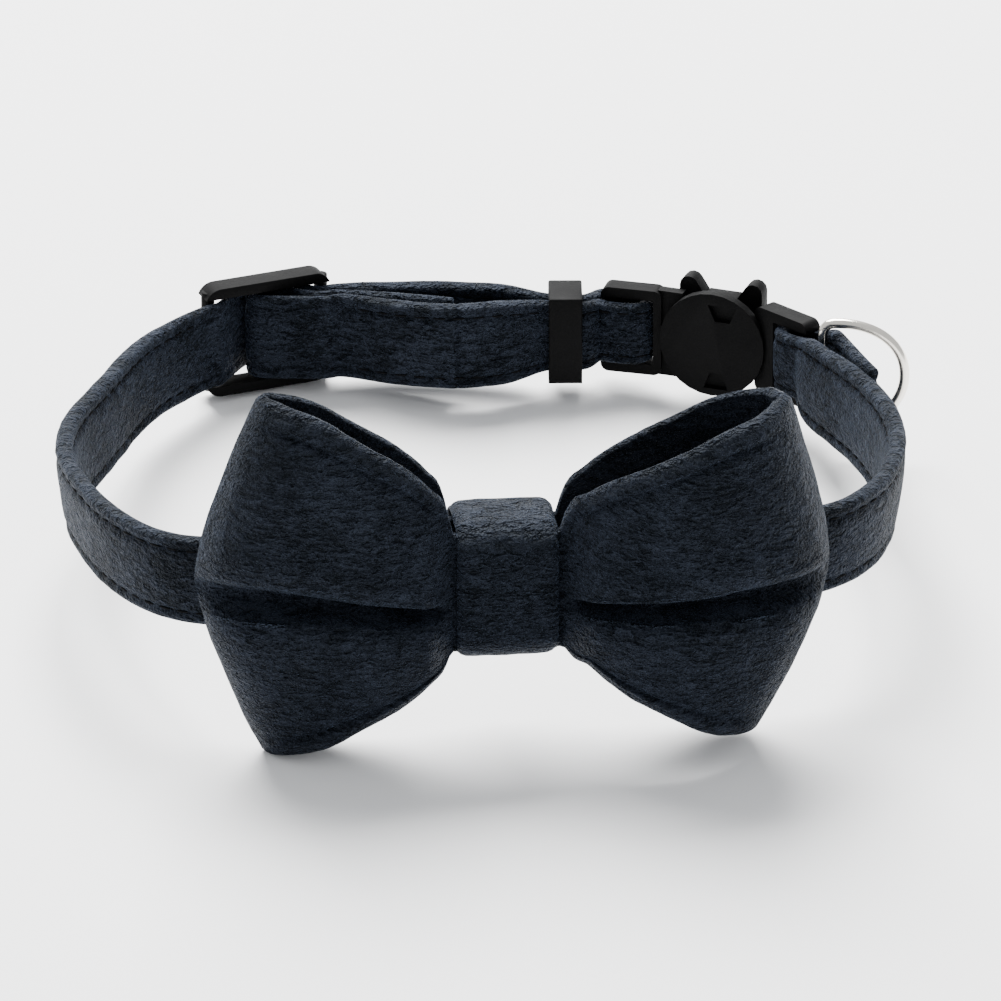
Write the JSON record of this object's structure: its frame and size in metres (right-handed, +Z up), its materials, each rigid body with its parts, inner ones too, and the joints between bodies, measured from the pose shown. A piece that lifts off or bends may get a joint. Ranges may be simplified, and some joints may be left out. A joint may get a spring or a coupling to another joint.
{
  "type": "pet bow tie collar",
  "caption": "Adjustable velvet neck strap for a small pet with a pinched bow, slider, keeper, breakaway buckle and tag ring.",
  "frame": {"origin": "on the table under the middle of the collar's box", "axes": "+X along the bow, to the right as seen from in front of it; +Y from the bow to the buckle; +Z up"},
  "size_m": [0.1026, 0.091, 0.0432],
  "materials": {
    "velvet": "short plush velvet, near-black navy with a blue-grey sheen",
    "plastic": "fine matte moulded black",
    "ring_metal": "bright nickel plate"
  },
  "bodies": {
    "collar": {"strap": "velvet", "bow": "velvet", "bow_knot": "velvet", "slider": "plastic", "keeper": "plastic", "buckle_plug": "plastic", "buckle_head": "plastic"},
    "ring": {"d_ring": "ring_metal"}
  },
  "joints": [
    {"name": "ring_swing", "type": "hinge", "parent": "collar", "child": "ring", "pos_m": [0.0412, 0.02085, 0.01059], "axis": [0, 0.1608, 0.987], "range_deg": [-25, 55]}
  ]
}
